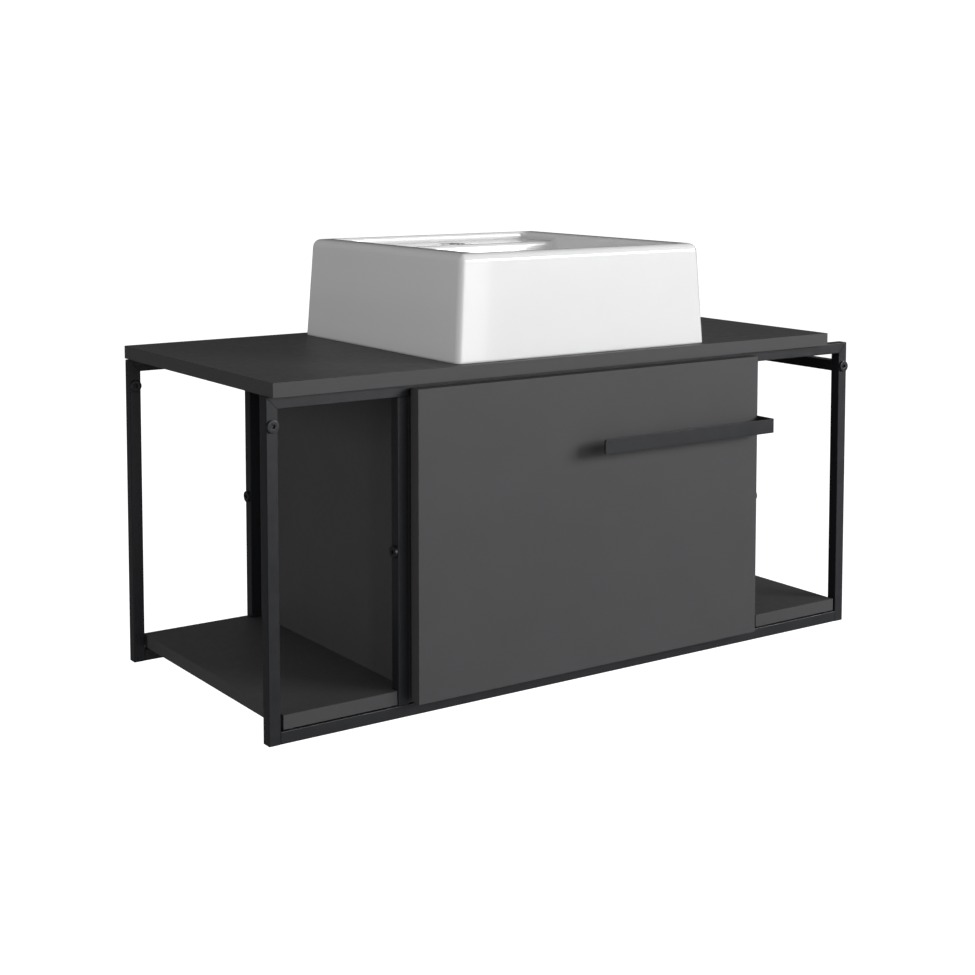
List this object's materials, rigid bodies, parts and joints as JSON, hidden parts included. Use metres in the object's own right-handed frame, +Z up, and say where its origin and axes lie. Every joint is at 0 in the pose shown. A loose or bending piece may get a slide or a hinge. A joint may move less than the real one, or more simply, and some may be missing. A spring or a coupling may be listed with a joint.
{
  "type": "vessel sink on vanity",
  "caption": "Wall-hung washstand: square ceramic vessel basin on a board worktop, carried by a square tube frame with open side shelves and a wide central drawer.",
  "frame": {"origin": "on the wall plane, midway between the two wall-fixing holes in the back top rail", "axes": "+X to the right along the width, +Y back into the wall, +Z up"},
  "size_m": [0.98, 0.492, 0.5879],
  "materials": {
    "powder_coated_steel": "fine matt black powder coat",
    "matt_grey_board": "supermatt anthracite grey melamine faced board",
    "drawer_box_board": "anthracite grey melamine faced board",
    "glazed_white_ceramic": "white glaze, gloss",
    "zinc_plated_steel": "bright zinc",
    "black_plastic": "matt",
    "clear_elastomer": "frosted",
    "beech": "plain turned beech"
  },
  "bodies": {
    "root": {"worktop": "matt_grey_board", "basin": "glazed_white_ceramic", "front_top_rail": "powder_coated_steel", "front_bottom_rail": "powder_coated_steel", "back_top_rail": "powder_coated_steel", "back_bottom_rail": "powder_coated_steel", "front_left_post": "powder_coated_steel", "front_right_post": "powder_coated_steel", "back_left_post": "powder_coated_steel", "back_right_post": "powder_coated_steel", "front_left_inner_post": "powder_coated_steel", "front_right_inner_post": "powder_coated_steel", "back_left_inner_post": "powder_coated_steel", "back_right_inner_post": "powder_coated_steel", "towel_rail": "powder_coated_steel", "towel_rail_plugs": "zinc_plated_steel", "post_plugs": "black_plastic", "frame_bolts": "powder_coated_steel", "rivet_nuts": "zinc_plated_steel", "cabinet_bolts": "powder_coated_steel", "cabinet_inserts": "zinc_plated_steel", "left_shelf": "matt_grey_board", "right_shelf": "matt_grey_board", "shelf_pads": "black_plastic", "cabinet_left_side": "matt_grey_board", "cabinet_right_side": "matt_grey_board", "cabinet_bottom": "matt_grey_board", "cabinet_upper_stretcher": "matt_grey_board", "cabinet_lower_stretcher": "matt_grey_board", "cabinet_dowels": "beech", "worktop_screws": "zinc_plated_steel", "wall_spacers": "black_plastic", "wall_pads": "black_plastic", "left_slide_outer": "zinc_plated_steel", "right_slide_outer": "zinc_plated_steel"},
    "drawer": {"left_slide_inner": "zinc_plated_steel", "right_slide_inner": "zinc_plated_steel", "drawer_front": "matt_grey_board", "drawer_inner_front": "drawer_box_board", "drawer_left_side": "drawer_box_board", "drawer_right_side": "drawer_box_board", "drawer_bottom": "drawer_box_board", "drawer_back_left": "drawer_box_board", "drawer_back_right": "drawer_box_board", "recess_left_wall": "drawer_box_board", "recess_right_wall": "drawer_box_board", "recess_front_wall": "drawer_box_board", "front_screws": "zinc_plated_steel", "drawer_bumpers": "clear_elastomer", "handle": "powder_coated_steel", "handle_screws": "powder_coated_steel"},
    "left_middle": {"left_slide_middle": "zinc_plated_steel"},
    "right_middle": {"right_slide_middle": "zinc_plated_steel"}
  },
  "joints": [
    {"name": "drawer_slide", "type": "slide", "parent": "root", "child": "drawer", "axis": [0, -1, 0], "range_m": [0, 0.33]},
    {"name": "left_middle_slide", "type": "slide", "parent": "root", "child": "left_middle", "axis": [0, -1, 0], "range_m": [0, 0.165]},
    {"name": "right_middle_slide", "type": "slide", "parent": "root", "child": "right_middle", "axis": [0, -1, 0], "range_m": [0, 0.165]}
  ],
  "couplings": [
    {"joint": "left_middle_slide", "follows": "drawer_slide", "ratio": 0.5},
    {"joint": "right_middle_slide", "follows": "drawer_slide", "ratio": 0.5}
  ]
}
